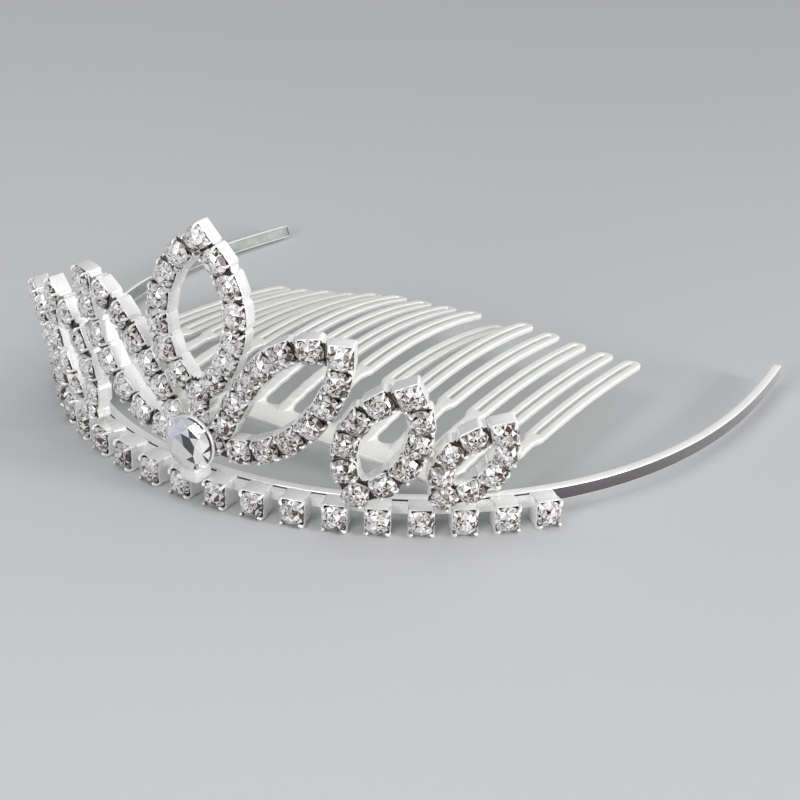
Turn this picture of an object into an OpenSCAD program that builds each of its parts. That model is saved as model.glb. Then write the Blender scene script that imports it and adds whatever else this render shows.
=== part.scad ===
// Comb tiara with claw set stones.
// The strip's front is at the front (-Y), its two bare arms run back to +Y, and +Z is up.
// The tiara stands on the bottoms of its row of cups and on the end of the left arm.

/* [Band] */
// Radius of the front curve, to the middle of the strip
front_radius = 45.4; // [45:0.1:46]
// Thickness of the strip
band_thickness = 1.22; // [1.1:0.02:1.22]
// Height of the strip
band_height = 1.9; // [1.7:0.05:2]
// Length of the left arm along the strip, from the middle of the front
arm_left = 100.6; // [96:0.2:102]
// Length of the right arm along the strip, from the middle of the front
arm_right = 93.4; // [90:0.2:96]
// Outward lean of the left arm at its end, in degrees
arm_twist = 24; // [0:1:26]

/* [Row] */
// Distance from one row cup to the next, along the strip
row_pitch = 4.88; // [4.86:0.01:4.92]
// Width of a row cup
row_width = 3.2; // [3.1:0.02:3.24]
// Depth of a row cup, front to back
row_depth = 3; // [2.8:0.02:3]
// Width across a row stone
row_stone = 2.66; // [2.5:0.02:2.68]

/* [Leaves] */
// Width of a leaf cup, across its arm
cup_width = 3.28; // [3.2:0.01:3.3]
// Depth of a leaf cup, front to back
cup_depth = 2.25; // [2.2:0.05:2.4]
// Width across a leaf stone
leaf_stone = 2.72; // [2.6:0.02:2.74]

/* [Centre] */
// Radius of the large round cup
centre_radius = 3.55; // [3.5:0.01:3.6]
// Radius of the large stone
centre_stone_radius = 3.1; // [3:0.01:3.14]

/* [Comb] */
// Thickness of the comb's metal
comb_thickness = 0.7; // [0.6:0.02:0.8]
// Width of a tooth
tooth_width = 2.6; // [2.4:0.05:2.7]
// Width of a tooth's lower part, before it splits
neck_width = 1.5; // [1.4:0.05:1.6]
// Width of the slot in a tooth
slot_width = 0.6; // [0.6:0.05:0.9]
// Length of a tooth from the flat spine to its tip
tooth_length = 38.6; // [37:0.2:40]

/* [Hidden] */
$fn = 40;
// small gap between pieces that touch on the real object
gap = 0.08;
row_height = 3.5;
band_top = row_height;
band_lift = band_top - band_height;
row_front = 3.7;
row_count = 18;
row_shift = -0.55;
// the arms curve less and less towards their ends
arm_scale = 97;
arm_fall = 0.8716;
arm_skew = 0.058;
// how far the end of the left arm hangs below the level of the front
arm_drop = band_lift + band_height / 2
    - (band_height / 2) * cos(arm_twist) - (band_thickness / 2) * sin(arm_twist);
// a leaf's surface leans further outward the further it is from the front
lean_start = -1;
lean_rise = 0.37;
pocket_depth = 1.8;
// how far each corner of a leaf cup is cut off: along the arms, at the tip, and near the base
corner_cut = 0.65;
tip_cut = 0.3;
base_cut = 0.96;
// how far a leaf cup's claws stand in from its walls
claw_inset = 0.48;
claw_radius = 0.18;
claw_reach = 0.4;
comb_turn = -2.5;
comb_middle = [-0.2, 15.75];
comb_pitch = 4.4;
tip_pitch = 4.25;
spine_width = 5.05;
spine_radius = 545;
spine_top = band_top + gap + 0.1 + comb_thickness / 2 + 32.7 * 32.7 / (2 * spine_radius);
slot_start = 10.8;
silver = [0.86, 0.86, 0.87];
bright = [0.93, 0.93, 0.93];
clear = [0.8, 0.86, 0.92];

// One line for each leaf: side (1 right, -1 left), tip, base, then for each of its two arms
// the bulge, the skew and the number of cups. A point is [place along the strip, height].
LEAF_C  = [1, [0.1, 34.6], [-0.2, 14.65], [-5.2, -0.1, 6], [5.2, 0.2, 6]];
LEAF_R1 = [1, [17.6, 23.8], [1.8, 8.7], [4.8, -0.15, 6], [-3.6, 0.66, 6]];
LEAF_R2 = [1, [24.9, 19.4], [18.97, 5.25], [3.6, 0, 4], [-3.8, 0, 4]];
LEAF_R3 = [1, [34.8, 14.4], [28.73, 5.2], [2.7, 0, 3], [-2.9, 0, 3]];
LEAF_L1 = [-1, [16.9, 24.8], [1.8, 8.7], [4.8, -0.15, 6], [-2.1, 0.65, 6]];
LEAF_L2 = [-1, [25, 19.6], [20.07, 5.25], [3.6, 0, 4], [-3.8, 0, 4]];
LEAF_L3 = [-1, [35.6, 14.8], [29.83, 5.2], [2.7, 0, 3], [-2.9, 0, 3]];

// Direction of the strip at a place along it, in degrees.
function heading(s) =
    let (u = s / arm_scale)
    s / front_radius * (1 - arm_fall * pow(u, 4) / 5 - arm_skew * u / 2) * 180 / PI;

// The strip's middle line, followed in short steps from the front: [place, x, y].
walk_step = 0.5;
function walk(way) = [for (i = 0, x = 0, y = 0; i <= 208;
    x = x + way * walk_step * cos(heading(way * (i + 0.5) * walk_step)),
    y = y + way * walk_step * sin(heading(way * (i + 0.5) * walk_step)),
    i = i + 1) [way * i * walk_step, x, y]];
right_walk = walk(1);
left_walk = walk(-1);
track = concat([for (i = [208:-1:1]) left_walk[i]], right_walk);
track_x = [for (p = track) [p[0], p[1]]];
track_y = [for (p = track) [p[0], p[2]]];
function spot_x(s) = lookup(s, track_x);
function spot_y(s) = lookup(s, track_y);

// Lean and drop of the left arm, both starting behind the row of cups.
function twist(s) = s > -45 ? 0 : arm_twist * (-s - 45) / (arm_left - 45);
function drop(s) = s > 0 ? 0 : arm_drop * pow(s / arm_left, 2);

// Four corners of the strip's section at a place along it.
stations = 66;
function station(i) = -arm_left + (arm_left + arm_right) * i / stations;
function band_corner(s, out, up) =
    let (t = twist(s), q = out * cos(t) + up * sin(t), v = up * cos(t) - out * sin(t))
    [spot_x(s) + q * sin(heading(s)), spot_y(s) - q * cos(heading(s)),
        band_lift + band_height / 2 - drop(s) + v];
band_points = [for (i = [0:stations], c = [[1, -1], [1, 1], [-1, 1], [-1, -1]])
    band_corner(station(i), c[0] * band_thickness / 2, c[1] * band_height / 2)];

// The model's origin is the middle of its outline, seen from above.
x_low = min([for (p = band_points) p[0]]);
x_high = max([for (p = band_points) p[0]]);
y_low = spot_y(row_shift) - 5.95;
y_high = max([for (p = band_points) p[1]]);
module stand() {
    translate([-(x_low + x_high) / 2, -(y_low + y_high) / 2, 0])
        children();
}

// Places a piece on the row, with its front rim at the row's front.
module on_row(i) {
    s = row_shift + row_pitch * (i - (row_count - 1) / 2);
    translate([spot_x(s), spot_y(s), row_height / 2])
        rotate([0, 0, heading(s)])
            translate([0, -row_front, 0])
                children();
}

// Places a cup on a leaf's surface, with its front rim facing outward.
module on_leaf(spot) {
    lean = lean_start + lean_rise * abs(spot[0]);
    translate([spot_x(spot[0]), spot_y(spot[0]), spot[1]])
        rotate([0, 0, heading(spot[0])])
            translate([0, -row_front - (spot[1] - row_height) * tan(lean), 0])
                rotate([lean, 0, 0])
                    children();
}

// A leaf's arm bows out from the straight line between its tip and its base.
function on_arm(tip, base, bow, t) =
    let (run = base - tip, out = [-run[1], run[0]] / norm(run))
    tip + t * run + out * bow[0] * pow(4 * t * (1 - t), 0.8) * (1 + bow[1] * (1 - 2 * t));
function arm_lengths(tip, base, bow) = [for (i = 0, far = 0; i <= 60;
    far = far + norm(on_arm(tip, base, bow, min(1, (i + 1) / 60)) - on_arm(tip, base, bow, i / 60)),
    i = i + 1) [far, i / 60]];
// Cups spaced evenly along one arm, from the tip towards the base.
function arm_cups(tip, base, bow) =
    let (far = arm_lengths(tip, base, bow))
    [for (i = [1:bow[2]]) on_arm(tip, base, bow, lookup(far[60][0] * i / (bow[2] + 1), far))];
// All cups of a leaf, in order around it: the tip, one arm, the base, the other arm.
function leaf_ring(leaf) =
    let (first = arm_cups(leaf[1], leaf[2], leaf[3]), second = arm_cups(leaf[1], leaf[2], leaf[4]),
        last = len(second) - 1,
        ring = concat([leaf[1]], first, [leaf[2]], [for (i = [last:-1:0]) second[i]]))
    [for (p = ring) [leaf[0] * p[0], p[1]]];
// One more cup hangs on a stem below the base of the middle leaf.
stem_spot = [0, 11.62];
function angle(from, to) = atan2(to[1] - from[1], to[0] - from[0]);

// Four plain pins that reach over the corners of a stone.
module claws(spread_x, spread_z) {
    for (a = [-1, 1], b = [-1, 1])
        translate([a * spread_x, -claw_reach, b * spread_z])
            rotate([-90, 0, 0])
                cylinder(r = claw_radius, h = claw_reach + 0.6);
}

// Eight-sided pocket that a stone of this width drops into, open to the front.
module pocket(width) {
    translate([0, -claw_reach - 0.1, 0])
        rotate([-90, 22.5, 0])
            cylinder(r = (width / 2 + 0.1) / cos(22.5), h = pocket_depth + claw_reach + 0.1, $fn = 8);
}

// Half of the bar that joins a cup to the next one, at the back of both.
module half_bar(way, reach) {
    rotate([0, -way, 0])
        translate([0, pocket_depth + 0.1, -0.95])
            cube([reach, cup_depth - pocket_depth - 0.16, 1.9]);
}

// Block of a square cup with cut corners and its claws. half is its half length along the arm.
module cup_block(half, cut) {
    side = cup_width / 2;
    rotate([-90, 0, 0])
        linear_extrude(cup_depth)
            polygon([[half, side - cut], [half - cut, side], [cut - half, side], [-half, side - cut],
                [-half, cut - side], [cut - half, -side], [half - cut, -side], [half, cut - side]]);
    claws(half - claw_inset, side - claw_inset);
}

// Places a piece in cup i of a leaf, turned along its arm. The tip's cup points one corner outward.
module on_cup(leaf, i) {
    ring = leaf_ring(leaf);
    n = len(ring);
    turn = i == 0 ? angle(ring[leaf[3][2] + 1], ring[0]) + 45 : angle(ring[i - 1], ring[(i + 1) % n]);
    on_leaf(ring[i])
        rotate([0, -turn, 0])
            children();
}

// The cups of a leaf touch side by side, and bars join them at the back.
module leaf_metal(leaf) {
    ring = leaf_ring(leaf);
    n = len(ring);
    for (i = [0:n - 1]) {
        next = ring[(i + 1) % n];
        last = ring[(i + n - 1) % n];
        near_base = abs(i - leaf[3][2] - 1) < 2;
        on_cup(leaf, i)
            cup_block(i == 0 || near_base ? cup_width / 2 : norm(next - ring[i]) / 2 + 0.02,
                i == 0 ? tip_cut : near_base ? base_cut : corner_cut);
        on_leaf(ring[i]) {
            half_bar(angle(ring[i], next), norm(next - ring[i]) / 2 + 0.35);
            half_bar(angle(ring[i], last), norm(last - ring[i]) / 2 + 0.35);
        }
    }
}

module leaf_pockets(leaf) {
    for (i = [0:len(leaf_ring(leaf)) - 1])
        on_cup(leaf, i)
            pocket(leaf_stone);
}

// One leaf: its cups and bars, with all pockets cut out.
module leaf_cups(leaf) {
    difference() {
        leaf_metal(leaf);
        leaf_pockets(leaf);
    }
}

// A cut stone: flat table, a ring of facets down to the girdle, and a pointed back.
// It faces outward, with its girdle just inside the rim of its cup.
module gem(sides, girdle, table, crown, rim, back, foot) {
    step = 360 / sides;
    upper = [for (i = [0:sides - 1]) [table * cos(step * (i + 0.5)), table * sin(step * (i + 0.5)), crown]];
    girdle_top = [for (i = [0:sides - 1]) [girdle * cos(step * i), girdle * sin(step * i), 0]];
    girdle_low = [for (i = [0:sides - 1]) [girdle * cos(step * i), girdle * sin(step * i), -rim]];
    lower = [for (i = [0:sides - 1]) [foot * cos(step * (i + 0.5)), foot * sin(step * (i + 0.5)), -back]];
    a = 0;
    b = sides;
    c = 2 * sides;
    d = 3 * sides;
    rotate([90, 0, 0])
        polyhedron(
            points = concat(upper, girdle_top, girdle_low, lower),
            faces = concat(
                [[for (i = [sides - 1:-1:0]) a + i]],
                [for (i = [0:sides - 1]) [b + i, a + i, b + (i + 1) % sides]],
                [for (i = [0:sides - 1]) [a + i, a + (i + 1) % sides, b + (i + 1) % sides]],
                [for (i = [0:sides - 1]) [b + i, b + (i + 1) % sides, c + (i + 1) % sides, c + i]],
                [for (i = [0:sides - 1]) [c + i, c + (i + 1) % sides, d + i]],
                [for (i = [0:sides - 1]) [d + i, c + (i + 1) % sides, d + (i + 1) % sides]],
                [[for (i = [0:sides - 1]) d + i]]));
}

// Square stone with cut corners, its flats along the walls of its cup.
module cup_gem(width, table) {
    translate([0, 0.36, 0])
        rotate([0, 22.5, 0])
            gem(8, width / 2 / cos(22.5), table, 0.7, 0.14, 1.3, 0.34);
}

module leaf_stones(leaf) {
    for (i = [0:len(leaf_ring(leaf)) - 1])
        on_cup(leaf, i)
            cup_gem(leaf_stone, 0.84);
}

// The strip is one solid, turned a little at each short step.
module band() {
    color(silver)
        stand()
            polyhedron(
                points = band_points,
                faces = concat(
                    [[0, 3, 2], [0, 2, 1]],
                    [for (i = [0:stations - 1], k = [0:3])
                        [4 * i + k, 4 * i + (k + 1) % 4, 4 * i + 4 + k]],
                    [for (i = [0:stations - 1], k = [0:3])
                        [4 * i + (k + 1) % 4, 4 * i + 4 + (k + 1) % 4, 4 * i + 4 + k]],
                    [[4 * stations, 4 * stations + 1, 4 * stations + 2],
                        [4 * stations, 4 * stations + 2, 4 * stations + 3]]));
}

// Base and tip of a tooth, seen from above, in the comb's own directions.
function tooth_foot(k) = [comb_pitch * (k - 8), 0];
function tooth_end(k) = [tip_pitch * (k - 8), tooth_length];
// Height of the spine over a place across it. Each tooth is bent a little differently at its tip,
// and the teeth in the middle bow up the most.
function spine_height(x) = spine_top - x * x / (2 * spine_radius);
tip_bend = [-0.1, -0.4, -0.4, -0.4, 0, 0.2, 0, 0, 0.1, -1.05, 0.45, 0.15, 0, 0, 0.3];
function tip_height(k) = 5.15 + 0.27 * (k - 8) - 0.05 * pow(k - 8, 2) + tip_bend[k - 1];
function tooth_rise(k) = 1.28 + max(0, min(1.5, 0.3 * (14 - k), 0.35 * (k - 1.5)));

// A narrow wavy neck that widens at the shoulders into a slotted tooth with a round tip.
module tooth_outline(long) {
    shoulder = slot_start - 1.9;
    difference() {
        union() {
            translate([-neck_width / 2, -1.9])
                square([neck_width, shoulder + 2.2]);
            for (v = [1.9, 4.3, 6.7])
                translate([0, v])
                    circle(r = neck_width / 2 + 0.1);
            polygon([[-neck_width / 2, shoulder], [neck_width / 2, shoulder],
                [tooth_width / 2, shoulder + 1.7], [-tooth_width / 2, shoulder + 1.7]]);
            translate([-tooth_width / 2, shoulder + 1.7])
                square([tooth_width, long - shoulder - 1.7 - tooth_width / 2]);
            translate([0, long - tooth_width / 2])
                circle(r = tooth_width / 2);
        }
        translate([-slot_width / 2, slot_start])
            square([slot_width, long - slot_start - 1.2 - slot_width / 2]);
        translate([0, slot_start])
            circle(r = slot_width / 2);
        translate([0, long - 1.2 - slot_width / 2])
            circle(r = slot_width / 2);
    }
}

// A tooth is cut from a thin curved sheet, so that it bows up between spine and tip.
module tooth(k) {
    foot = tooth_foot(k);
    run = tooth_end(k) - foot;
    long = norm(run);
    low = spine_height(foot[0]);
    rise = tip_height(k) - low;
    chord = norm([long + 1.9, rise]);
    bow = tooth_rise(k);
    bend = chord * chord / (8 * bow) + bow / 2;
    translate([foot[0], foot[1], 0])
        rotate([0, 0, angle(foot, tooth_end(k)) - 90])
            intersection() {
                translate([0, 0, -12])
                    linear_extrude(30)
                        tooth_outline(long);
                translate([0, -1.9, low])
                    rotate([atan(rise / (long + 1.9)), 0, 0])
                        translate([0, chord / 2, bow - bend])
                            rotate([0, 90, 0])
                                difference() {
                                    cylinder(r = bend + comb_thickness / 2, h = 4, center = true, $fn = 400);
                                    cylinder(r = bend - comb_thickness / 2, h = 5, center = true, $fn = 400);
                                }
            }
}

// Flat spine with round ends to the gaps, arched across and trimmed over the strip.
module spine() {
    notch = (comb_pitch - neck_width) / 2;
    intersection() {
        linear_extrude(12)
            intersection() {
                translate(comb_middle)
                    rotate(comb_turn)
                        difference() {
                            translate([-34, -spine_width])
                                square([68, spine_width + notch - 1]);
                            for (k = [1:14])
                                translate([comb_pitch * (k - 7.5), notch - 1])
                                    circle(r = notch);
                            translate([7 * comb_pitch + tooth_width / 2 - 0.4, -0.3])
                                square([6, 6]);
                            translate([-7 * comb_pitch - tooth_width / 2 - 5.6, -0.3])
                                square([6, 6]);
                        }
                translate([0, front_radius])
                    circle(r = front_radius - 0.1, $fn = 200);
            }
        translate([0, 13.85, spine_top])
            rotate([3, 0, 0])
                translate([0, 0, -spine_radius])
                    rotate([90, 0, 0])
                        difference() {
                            cylinder(r = spine_radius + comb_thickness / 2, h = 40, center = true, $fn = 1500);
                            cylinder(r = spine_radius - comb_thickness / 2, h = 41, center = true, $fn = 1500);
                        }
    }
}

module hair_comb() {
    color(silver)
        stand()
            union() {
                spine();
                translate([comb_middle[0], comb_middle[1], 0])
                    rotate([0, 0, comb_turn])
                        for (k = [1:15])
                            tooth(k);
            }
}

module row_cup() {
    difference() {
        union() {
            translate([-row_width / 2, 0, -row_height / 2])
                cube([row_width, row_depth, row_height]);
            claws(row_width / 2 - 0.3, row_height / 2 - 0.42);
        }
        pocket(row_stone);
    }
}

// Eighteen square cups joined by short links at their backs.
module cup_row() {
    color(bright)
        stand()
            union() {
                for (i = [0:row_count - 1])
                    on_row(i)
                        row_cup();
                for (i = [0:row_count - 2])
                    on_row(i + 0.5)
                        translate([-1.3, row_front - 1.6, 0.2])
                            cube([2.6, 0.84, 1.25]);
            }
}

module row_stone(i) {
    color(clear)
        stand()
            on_row(i - 1)
                cup_gem(row_stone, 0.86);
}

// Large round cup in front of the two lowest leaves, on a block that stands on the row.
module centre_setting() {
    color(bright)
        stand()
            translate([spot_x(row_shift), spot_y(row_shift), 0]) {
                translate([0, 0, 8.7])
                    rotate([90, 0, 0])
                        difference() {
                            union() {
                                translate([0, 0, 4.22])
                                    cylinder(r = centre_radius, h = 1.23);
                                for (a = [45:90:315])
                                    rotate([0, 0, a])
                                        translate([centre_radius - 0.1, 0, 4.3])
                                            cylinder(r = 0.38, h = 1.65);
                            }
                            translate([0, 0, 4.38])
                                cylinder(r = centre_stone_radius + 0.1, h = 1.22);
                        }
                translate([-1.3, -5.2, row_height + gap])
                    cube([2.6, 3, 1.85]);
            }
}

module centre_stone() {
    color(clear)
        stand()
            translate([spot_x(row_shift), spot_y(row_shift) - 5, 8.7])
                gem(16, centre_stone_radius, 1.9, 0.85, 0.12, 0.52, 1.5);
}

module leaf_centre() {
    color(bright)
        stand()
            difference() {
                union() {
                    leaf_metal(LEAF_C);
                    // one more cup on a stem below the base
                    on_leaf(stem_spot) {
                        cup_block(cup_width / 2, base_cut);
                        half_bar(90, 1.8);
                    }
                }
                leaf_pockets(LEAF_C);
                on_leaf(stem_spot)
                    pocket(leaf_stone);
            }
}

module stones_centre() {
    color(clear)
        stand() {
            leaf_stones(LEAF_C);
            on_leaf(stem_spot)
                cup_gem(leaf_stone, 0.84);
        }
}

module leaf_right_1() {
    color(bright)
        stand()
            leaf_cups(LEAF_R1);
}
module leaf_right_2() {
    color(bright)
        stand()
            leaf_cups(LEAF_R2);
}
module leaf_right_3() {
    color(bright)
        stand()
            leaf_cups(LEAF_R3);
}
module leaf_left_1() {
    color(bright)
        stand()
            leaf_cups(LEAF_L1);
}
module leaf_left_2() {
    color(bright)
        stand()
            leaf_cups(LEAF_L2);
}
module leaf_left_3() {
    color(bright)
        stand()
            leaf_cups(LEAF_L3);
}

module stones_right_1() {
    color(clear)
        stand()
            leaf_stones(LEAF_R1);
}
module stones_right_2() {
    color(clear)
        stand()
            leaf_stones(LEAF_R2);
}
module stones_right_3() {
    color(clear)
        stand()
            leaf_stones(LEAF_R3);
}
module stones_left_1() {
    color(clear)
        stand()
            leaf_stones(LEAF_L1);
}
module stones_left_2() {
    color(clear)
        stand()
            leaf_stones(LEAF_L2);
}
module stones_left_3() {
    color(clear)
        stand()
            leaf_stones(LEAF_L3);
}

module row_stone_01() { row_stone(1); }
module row_stone_02() { row_stone(2); }
module row_stone_03() { row_stone(3); }
module row_stone_04() { row_stone(4); }
module row_stone_05() { row_stone(5); }
module row_stone_06() { row_stone(6); }
module row_stone_07() { row_stone(7); }
module row_stone_08() { row_stone(8); }
module row_stone_09() { row_stone(9); }
module row_stone_10() { row_stone(10); }
module row_stone_11() { row_stone(11); }
module row_stone_12() { row_stone(12); }
module row_stone_13() { row_stone(13); }
module row_stone_14() { row_stone(14); }
module row_stone_15() { row_stone(15); }
module row_stone_16() { row_stone(16); }
module row_stone_17() { row_stone(17); }
module row_stone_18() { row_stone(18); }

band();
hair_comb();
cup_row();
row_stone_01();
row_stone_02();
row_stone_03();
row_stone_04();
row_stone_05();
row_stone_06();
row_stone_07();
row_stone_08();
row_stone_09();
row_stone_10();
row_stone_11();
row_stone_12();
row_stone_13();
row_stone_14();
row_stone_15();
row_stone_16();
row_stone_17();
row_stone_18();
centre_setting();
centre_stone();
leaf_centre();
leaf_right_1();
leaf_right_2();
leaf_right_3();
leaf_left_1();
leaf_left_2();
leaf_left_3();
stones_centre();
stones_right_1();
stones_right_2();
stones_right_3();
stones_left_1();
stones_left_2();
stones_left_3();
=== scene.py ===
"""Comb tiara: a bent strip with two bare arms, a row of square claw cups, seven open leaves made
of claw cups, a large stone in the middle and a slotted hair comb.

The helpers work in millimetres, laid out as in part.scad: x to the right, y to the back and z up
from the floor, with the origin below the strip's middle line at its front. put() turns a point
into metres in the row's frame.
"""
import math
import random
from collections import namedtuple

import bmesh
import bpy
from mathutils import Matrix, Vector


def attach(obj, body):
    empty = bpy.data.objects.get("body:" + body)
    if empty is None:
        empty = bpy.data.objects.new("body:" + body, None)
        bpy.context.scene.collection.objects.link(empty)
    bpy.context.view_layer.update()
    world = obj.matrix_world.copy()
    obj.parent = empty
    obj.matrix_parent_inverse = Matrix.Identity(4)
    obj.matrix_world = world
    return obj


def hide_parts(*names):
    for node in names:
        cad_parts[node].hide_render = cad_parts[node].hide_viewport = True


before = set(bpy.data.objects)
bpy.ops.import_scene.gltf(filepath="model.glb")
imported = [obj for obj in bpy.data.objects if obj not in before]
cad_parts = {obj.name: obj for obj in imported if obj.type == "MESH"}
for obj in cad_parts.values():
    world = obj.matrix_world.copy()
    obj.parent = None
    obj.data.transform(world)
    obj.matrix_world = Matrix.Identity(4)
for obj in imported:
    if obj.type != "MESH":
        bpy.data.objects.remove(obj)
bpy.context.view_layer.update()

MM = 1000  # millimetres in a metre
SHIFT_X, SHIFT_Y = 0.7906, 34.3074  # the row's frame has its origin here
GAP = 0.08  # between pieces that touch on the real tiara

# Strip. A place along it is 0 at its front and positive to the right.
FRONT_RADIUS = 45.4
BAND_T, BAND_H = 1.22, 1.9
BAND_EDGE = 0.16
BAND_STATIONS = 420
END_TAPER = (0.82, 0.94, 0.985, 1.0)  # size of the sections at both ends of the strip
ARM_LEFT, ARM_RIGHT = 100.6, 93.4
ARM_TWIST = math.radians(24)
TWIST_START = -45
ARM_SCALE, ARM_FALL, ARM_SKEW = 97.0, 0.8716, 0.058  # the arms curve less towards their ends
WALK_STEP, WALK_COUNT = 0.5, 208

# Row of cups
ROW_FRONT, ROW_H, ROW_W, ROW_D = 3.7, 3.5, 3.2, 3.0
ROW_PITCH, ROW_SHIFT, ROW_COUNT = 4.88, -0.55, 18
ROW_CORNER = 0.3
ROW_CLAW_X, ROW_CLAW_Z = 1.42, 1.54
ROW_CLAW_REACH, ROW_CLAW_R = 0.5, 0.22
ROW_STONE_X, ROW_STONE_Z = 1.58, 1.66
ROW_STONE_DARK, ROW_STONE_SQUARE = 0.32, 0.3
ROW_LINK_HALF = 1.3
ROW_LINK_FRONT, ROW_LINK_BACK = 2.1, 2.95
ROW_LINK_LOW, ROW_LINK_HIGH = 0.2, 1.45
BAND_LIFT = ROW_H - BAND_H

# Leaf cups
CUP_D, CUP_HALF = 2.25, 1.64
CUP_OVERLAP = 0.03
TIP_CORNER, SIDE_CORNER, BASE_CORNER = 0.32, 0.62, 0.95
LINK_HALF, LINK_FRONT, LINK_INSET, LINK_OVERLAP = 1.4, 0.5, 0.12, 0.1
LEAF_CLAW_REACH, LEAF_CLAW_R = 0.42, 0.19
LEAF_CLAW_INSET, LEAF_CLAW_ROUND = 0.2, 0.3  # inset of a claw, and more for a rounder corner
LEAF_STONE_MOST, LEAF_STONE_PROUD, LEAF_STONE_Z = 1.72, 0.01, 1.62
SIDE_SQUARE, TIP_SQUARE = 0.12, 0.32  # a stone's outline is a circle at 0 and a square at 1
LEAN_START, LEAN_RISE = -1, 0.37  # outward lean in degrees, and its rise for each mm along the strip
ARM_FULLNESS, ARM_SAMPLES = 0.8, 60
STEM, STEM_GAP = (0.0, 11.62), 3.0  # one more cup hangs below the base of the middle leaf

# Comb
COMB_MID, COMB_TURN = (-0.2, 15.75), math.radians(-2.5)
TEETH, MID_TOOTH = 15, 8
COMB_PITCH, TIP_PITCH = 4.4, 4.25
COMB_T, TOOTH_W, SLOT_W, NECK_W = 0.7, 2.6, 0.6, 1.5
TOOTH_L, SLOT_START = 38.6, 10.8
FOOT = 1.9  # a tooth's root reaches this far into the spine
SHOULDER_START, SHOULDER_L = 1.9, 1.8  # how far before the slot the shoulders start, their length
NECK_ROWS, LEG_STEPS, TIP_STEPS = 150, 60, 20
NECK_OVERLAP, LEG_OVERLAP, LEG_PROUD = 0.35, 0.2, 0.01
LEG_ENDS = (0.06, 0.03, 0.0)  # how far the sections at the ends of a leg draw in
LOBES, LOBE_L, LOBE_H = (-0.5, 1.9, 4.3, 6.7), 0.75, 0.11
GROOVES, GROOVE_L, GROOVE_D = (0.6, 3.0, 5.4, 7.9), 0.2, 0.1
GROOVE_STOP, GROOVE_FADE = 0.75, 2  # share of the half width where it ends, and how fast it fades
BAR_EDGE, BAR_ROUND, BAR_FLAT = 0.13, 0.3, 0.4
TIP_MID, TIP_SLOPE, TIP_FALL = 5.15, 0.27, 0.05
TIP_BEND = (-0.1, -0.4, -0.4, -0.4, 0, 0.2, 0, 0, 0.1, -1.05, 0.45, 0.15, 0, 0, 0.3)
BOW_LEAST, BOW_MORE = 1.28, 1.5
BOW_LEFT, BOW_LEFT_FROM = 0.35, 1.5
BOW_RIGHT, BOW_RIGHT_FROM = 0.3, 14
SPINE_W, SPINE_R, SPINE_HALF = 5.05, 545.0, 33.6
SPINE_TILT, SPINE_TILT_Y = math.radians(3), 13.85
SPINE_STEPS, SPINE_EDGE, SPINE_BEVEL, SPINE_BEVEL_RISE = 360, 0.16, 0.03, 0.7
SPINE_TRIM, SPINE_TRIM_STEP, SPINE_LEAST = 0.1, 0.02, 0.3
SPINE_END_INSET, SPINE_END_BACK = 0.4, -0.3
SPINE_INNER = (0.35, 0.7)  # shares of its depth where its upper face has a point
NOTCH_SUNK = 1  # the gaps between the teeth reach this far into the spine
SPINE_LOW_X = 32.7  # this far from its middle, the arched spine just clears the strip's top
SPINE_TOP = ROW_H + GAP + 0.1 + COMB_T / 2 + SPINE_LOW_X**2 / (2 * SPINE_R)

# Large stone and its round cup. Their depths are measured forward from the strip's middle line.
CENTRE_Z = 8.7
SETTING_PROFILE = (  # radius and depth
    (3.2, 4.22),
    (3.45, 4.25),
    (3.53, 4.36),
    (3.55, 4.55),
    (3.52, 4.7),
    (3.44, 4.76),
    (3.32, 4.74),
    (3.22, 4.6),
    (3.2, 4.4),
)
SETTING_CLAW_RING, SETTING_CLAW_R = 3.45, 0.25
SETTING_CLAW = (  # depth, how far it leans in, and share of its full thickness
    (3.9, 0, 0.9),
    (4.9, 0, 1),
    (5.3, 0.06, 1),
    (5.5, 0.25, 0.95),
    (5.62, 0.5, 0.7),
    (5.66, 0.62, 0.2),
)
SETTING_FOOT_X, SETTING_FOOT_Y, SETTING_FOOT_EDGE = 1.3, 1.5, 0.25
SETTING_FOOT_LOW, SETTING_FOOT_HIGH = ROW_H + GAP, 5.43
SETTING_FOOT = (  # height and size of each section
    (SETTING_FOOT_LOW, 0.94),
    (SETTING_FOOT_LOW + 0.15, 1.0),
    (SETTING_FOOT_HIGH - 0.3, 1.0),
    (SETTING_FOOT_HIGH, 0.9),
)
BIG_R, BIG_LIFT, BIG_GIRDLE, BIG_TURN = 3.38, 0.86, 5.1, 0.2
BIG_RINGS = (  # share of the radius, points, turn in steps, height above the girdle
    (0.5, 8, 0.0, BIG_LIFT - 0.01),
    (0.76, 8, 0.5, 0.54),
    (1.0, 32, 0.0, 0.0),
    (1.0, 32, 0.0, -0.32),
)

# Seeds of all random draws. Each cup of the row and each leaf adds its own number.
ROW_SEED, LEAF_SEED, CENTRE_SEED = 700, 100, 11

# An arm's bulge, its skew towards the tip and its number of cups
Arm = namedtuple("Arm", "bulge skew cups")
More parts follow.
